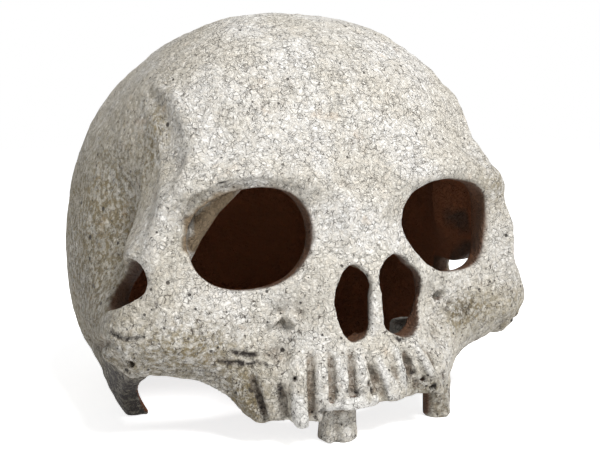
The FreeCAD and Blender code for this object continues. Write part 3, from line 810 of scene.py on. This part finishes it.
# %% [markdown]
# ### From clay to mesh
# The skin of the clay becomes one closed mesh that replaces the frame's shell. It is held inside
# the construction's own box.

# %% Mesh
MERGING = 0.02              # how readily flat places share a larger face
skull = clay.mesh("skull", MERGING)
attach(skull, "skull")
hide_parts("skull_shell")
skull.data.materials.append(resin)

points = np.empty(len(skull.data.vertices) * 3, np.float32)
normals = np.empty_like(points)
skull.data.vertices.foreach_get("co", points)
skull.data.vertices.foreach_get("normal", normals)
points = np.clip(points.reshape(-1, 3), *(np.array(corner, np.float32) for corner in cad_box))
skull.data.vertices.foreach_set("co", points.ravel())
normals = normals.reshape(-1, 3)
from_centre = points - HEAD_CENTRE
from_centre /= np.linalg.norm(from_centre, axis=1)[:, None]
facing = (normals * from_centre).sum(axis=1)         # 1 looks outward, -1 looks into the hollow


# %% [markdown]
# ### Where the dirt and the painted shade lie
# A painter brushes brown wash over the casting and wipes it off, so it stays in the grooves and in
# the openings. Painted shade darkens the grooves, the sides and the low parts further, and a painted
# highlight lightens the proud roots. The depth of each point under the construction's smooth skin
# tells a groove from a ridge, once the openings in that skin are bridged.

# %% Skin map
TURN_STEP, LEVEL_STEP = 2.0, 2.0
MAP_TOP = 119.0
CROWN = 95.0                # above this the skin has no openings
CORE = 30.0                 # skin nearer to the axis than this is seen through an opening
STEEP = 0.6                 # skin that faces outward less than this is an opening's wall
ROUNDS = 400                # enough averaging to close the widest opening
turns = np.arange(-180.0, 180.0, TURN_STEP)
levels = np.arange(0.0, MAP_TOP, LEVEL_STEP)
reach = np.zeros((len(turns), len(levels)))
known = np.zeros(reach.shape, bool)
for i, turn in enumerate(turns):
    way = outward(turn)
    for j, level in enumerate(levels):
        axis = Vector((0, AXIS_Y, level))
        hit, normal = cad_tree.ray_cast(axis + way * OUTSIDE, -way)[:2]
        if hit is not None:
            reach[i, j] = (hit - axis).dot(way)
            known[i, j] = level > CROWN or (reach[i, j] > CORE and normal.dot(way) > STEEP)
for shift in (1, -1):
    known &= np.roll(known, shift, 0)
reach[~known] = reach[known].mean()
for _ in range(ROUNDS):
    padded = np.pad(np.pad(reach, ((1, 1), (0, 0)), "wrap"), ((0, 0), (1, 1)), "edge")
    average = (padded[2:, 1:-1] + padded[:-2, 1:-1] + padded[1:-1, 2:] + padded[1:-1, :-2]) / 4.0
    reach = np.where(known, reach, average)
bridged = (~known).astype(float)
print("skin map bridges", int(bridged.sum()), "of", known.size, "places")


def map_value(table, turn, height):
    """Value of a table at turns in degrees and heights in mm."""
    i = (turn + 180.0) / TURN_STEP
    j = np.clip(height / LEVEL_STEP, 0, len(levels) - LAST_CELL)
    i0, j0 = np.floor(i).astype(int), j.astype(int)
    u, v = i - i0, j - j0
    count = len(turns)
    near = table[i0 % count, j0] * (1 - v) + table[i0 % count, j0 + 1] * v
    far = table[(i0 + 1) % count, j0] * (1 - v) + table[(i0 + 1) % count, j0 + 1] * v
    return near * (1 - u) + far * u


# %% Masks
def rise(value, low, high):
    """Smooth rise from 0 to 1 as value goes from low to high, or back if low is the greater."""
    share = np.clip((value - low) / (high - low), 0.0, 1.0)
    return share * share * (3.0 - 2.0 * share)


x, y, z = (points / MM).T
turn = np.degrees(np.arctan2(x, AXIS_Y - y))
sunk_mm = map_value(reach, turn, z) - np.hypot(x, y - AXIS_Y)
under_crown = rise(z, 108.0, 98.0)
inward = rise(facing, 0.1, -0.35)
# Walls of the openings: the nose's and right orbit's are bare bone, the others are stained dark.
cut_wall = rise(sunk_mm, 0.7, 2.2) * rise(map_value(bridged, turn, z), 0.0, 0.5)
nose = (np.abs(x - 3.0) < 19.0) * (z < 50.5) * rise(z, 22.0, 27.0)
orbit = rise(-x, 31.0, 36.0) * rise(-y, 42.0, 46.0) * rise(z, 48.0, 53.0)
nose = np.maximum(nose, orbit * rise(z, 76.0, 73.0))
nose_wall = cut_wall * nose
socket_wall = cut_wall * (1.0 - nose) * rise(z, 27.0, 33.0)
socket_wall = np.maximum(socket_wall, 0.9 * (1.0 - orbit) * rise(inward, 0.2, 0.7) * rise(-y, 42.0, 56.0))
# The hollow behind the face.
inside = inward * np.maximum(rise(sunk_mm, 1.5, 3.0), 1.0 - under_crown) * (1.0 - 0.8 * orbit)
# Grooves hold more resin round them than open skin does; ridges hold less.
filled = Clay("skull_shell")
filled.field = np.clip(0.5 - clay.field / 2.0, 0.0, 1.0)
filled.soften(16)
hollow = filled.sample(filled.field, points) - 0.5
# Brown wash in the grooves, deepened low on the jaw into painted shade between the roots.
wash_and_shade = 0.85 * rise(hollow, 0.03, 0.16) * rise(sunk_mm, 0.2, 1.6)
wash_and_shade = np.maximum(wash_and_shade, 0.8 * rise(hollow, 0.01, 0.10) * rise(z, 30.0, 24.0)) * under_crown
# The roots stand proud and get a painted highlight, and the same mask makes them shinier.
root_highlight = rise(sunk_mm, -0.3, -1.3) * rise(-np.abs(turn + 5.0), -23.0, -17.0) * rise(z, 30.0, 22.0)

# Each blotch is turn, height, spread in degrees, spread in mm, and amount.
# The first list is tan grime with painted shade under the cheeks, on the lobe and at the temples.
GRIME_AND_SHADE_BLOTCHES = [(-45, 28, 10, 9, 0.8), (38, 30, 7, 7, 1.0), (47, 70, 9, 9, 0.75), (-35, 13, 6, 9, 0.9),
         (50, 31, 8, 8, 0.4), (-44, 62, 4, 9, 0.5), (14, 12, 6, 4, 0.5), (30, 4, 9, 8, 0.5),
         (-61, 84, 6, 13, 0.5), (61, 84, 6, 13, 0.4)]
# The second list is dark stains, with painted shadow on the legs and low on the sides.
STAIN_AND_SHADOW_BLOTCHES = [(-78, 7, 22, 13, 1.2), (78, 7, 22, 13, 0.8), (-88, 32, 24, 20, 0.26), (88, 32, 24, 20, 0.15),
          (-34, 12, 5, 8, 0.22), (38, 31, 4, 4, 0.40), (-44, 21, 8, 4, 0.22), (30, 4, 7, 6, 0.45),
          (8.6, 18, 2.2, 3.5, 0.60), (-1.8, 18.6, 1.3, 2.6, 0.35), (12.5, 12.5, 3.0, 2.0, 0.35),
          (17.5, 17, 1.5, 5, 0.30), (-26.0, 14, 1.4, 5, 0.45), (-27, 27, 3, 2, 0.30),
          (-25.2, 31.4, 1.6, 1.0, 0.7), (-10, 1, 9, 2, 0.30), (-6, 15, 4, 0.8, 0.45)]


def blotches(places):
    total = np.zeros(len(turn))
    for at, height, spread, tall, amount in places:
        total += amount * np.exp(-((turn - at) / spread) ** 2 - ((z - height) / tall) ** 2)
    return total


# Grime and painted shade together: darker on the sides and towards the bottom, less at the back.
grime_and_shade = rise(np.abs(turn), 37.0, 80.0) * (0.45 + 0.5 * rise(z, 108.0, 60.0))
grime_and_shade *= 1.0 - 0.45 * rise(np.abs(turn), 105.0, 150.0)
porous = 0.14 + 0.30 * rise(z, 54.0, 30.0) * rise(np.abs(turn), 85.0, 50.0)
grime_and_shade = np.clip(grime_and_shade + 0.3 * rise(z, 40.0, 10.0) + blotches(GRIME_AND_SHADE_BLOTCHES), 0.0, 1.0)
# Dark stains and painted shadow, and dark lines along the cracks.
stain_and_shadow = blotches(STAIN_AND_SHADOW_BLOTCHES)
for line in CRACKS + BURST_LINES + [LOBE_GROOVE, JAGGED_GAP, GUM_LINE, LEDGE]:
    stain_and_shadow += 0.9 * rise(along(chain(line), x, y, z), 0.45, -0.25)
stain_and_shadow = np.clip(stain_and_shadow, 0.0, 1.0)


def paint(mesh, name, values):
    layer = mesh.attributes.new(name, "FLOAT", "POINT")
    layer.data.foreach_set("value", np.ascontiguousarray(values, np.float32))


for name, values in (("inside", inside), ("nose_wall", nose_wall), ("socket_wall", socket_wall),
                     ("porous", porous), ("wash_and_shade", wash_and_shade), ("root_highlight", root_highlight), ("grime_and_shade", grime_and_shade),
                     ("stain_and_shadow", stain_and_shadow)):
    paint(skull.data, name, values)
    print(name, "covers", round(float(values.mean()), 3))


# %% [markdown]
# ## The air line
# The hidden pieces are ordinary moulded and extruded stock: black plastic, rubber, smoky tube,
# silicone. The frame's own solids have their full shape, so they only need materials. One group
# gives them all the fine unevenness of such stock, each with its own values.

# %% Stock surface
def stock_group():
    tree, given, result = new_group(
        "stock_surface", [("Vector", "Vector", None), ("Scale", "Float", 900.0),
                          ("Roughness", "Float", 0.5), ("Spread", "Float", 0.1)],
        ["Roughness", "Height"])
    fleck = mottle(tree, given["Vector"], given["Scale"], 4.0, 0.6)
    spread = maths(tree, "MULTIPLY", maths(tree, "SUBTRACT", fleck, 0.5), given["Spread"])
    tree.links.new(maths(tree, "MULTIPLY_ADD", spread, 2.0, given["Roughness"]), result["Roughness"])
    tree.links.new(fleck, result["Height"])
    return tree


stock_surface = stock_group()


def stock(name, colour, roughness, spread, bump_mm, transmission=0.0):
    material = plain_material(name, colour, roughness)
    tree = material.node_tree
    shader = tree.nodes["Principled BSDF"]
    shader.inputs["Transmission Weight"].default_value = transmission
    place = put(tree, "TexCoord", {}).outputs["Object"]
    surface = put(tree, "Group", {"Vector": place, "Roughness": roughness, "Spread": spread},
                  node_tree=stock_surface)
    tree.links.new(surface.outputs["Roughness"], shader.inputs["Roughness"])
    bump = put(tree, "Bump", {"Distance": bump_mm * MM, "Height": surface.outputs["Height"]})
    tree.links.new(bump.outputs["Normal"], shader.inputs["Normal"])
    return material


# %% Materials of the air line
black_plastic = stock("moulded_black", (0.035, 0.035, 0.038), 0.42, 0.10, 0.03)
STOCKS = {
    "inlet_fitting": black_plastic,
    "inlet_nut": black_plastic,
    "sleeve_clip": black_plastic,
    "inlet_gasket": stock("gasket_rubber", (0.03, 0.03, 0.03), 0.80, 0.10, 0.06),
    "air_pipe": stock("smoky_tube", (0.30, 0.31, 0.31), 0.25, 0.06, 0.02, 0.35),
    "elbow_sleeve": stock("grey_silicone", (0.35, 0.38, 0.36), 0.50, 0.10, 0.03),
    "stone_nipple": stock("nipple_white", (0.75, 0.76, 0.74), 0.35, 0.08, 0.02),
}
for name, material in STOCKS.items():
    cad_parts[name].material_slots[0].material = material
print("dressed", len(STOCKS), "pieces of the air line")


# %% [markdown]
# ### Air stone
# The stone is grit baked together. A bump alone would leave its outline smooth, so it is carved
# like the casting, from its own blank, with grains as big as coarse sand.

# %% Air stone
GRIT_STEP = 0.22 * MM
GRAINS = ((1.1, 0.35), (0.6, 0.35))          # (width, depth) in mm
SHRINK = 0.12               # keeps the grains inside the blank, in mm
grit = Clay("air_stone", GRIT_STEP)
grit.field += SHRINK + sum(depth * lumps(grit, width) for width, depth in GRAINS) * 0.5
stone = grit.mesh("stone_grit", 0.0)
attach(stone, "stone")
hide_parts("air_stone")


def grit_material():
    material = plain_material("baked_grit", (0.4, 0.4, 0.4), 0.9)
    tree = material.node_tree
    shader = tree.nodes["Principled BSDF"]
    place = put(tree, "TexCoord", {}).outputs["Object"]
    grains = put(tree, "Group", {"Vector": place, "Size mm": 0.7, "Gap": 0.14}, node_tree=crackle)
    colour = tint(tree, grains.outputs["Flake"], (0.26, 0.25, 0.225), (0.46, 0.45, 0.41))
    colour = tint(tree, maths(tree, "MULTIPLY", grains.outputs["Gap"], 0.8), colour, (0.08, 0.075, 0.065))
    tree.links.new(colour, shader.inputs["Base Color"])
    bump = put(tree, "Bump", {"Distance": 0.2 * MM, "Height": grains.outputs["Flake"]})
    tree.links.new(bump.outputs["Normal"], shader.inputs["Normal"])
    return material


stone.data.materials.append(grit_material())
print("air stone of", grit.volume(), "cm3")
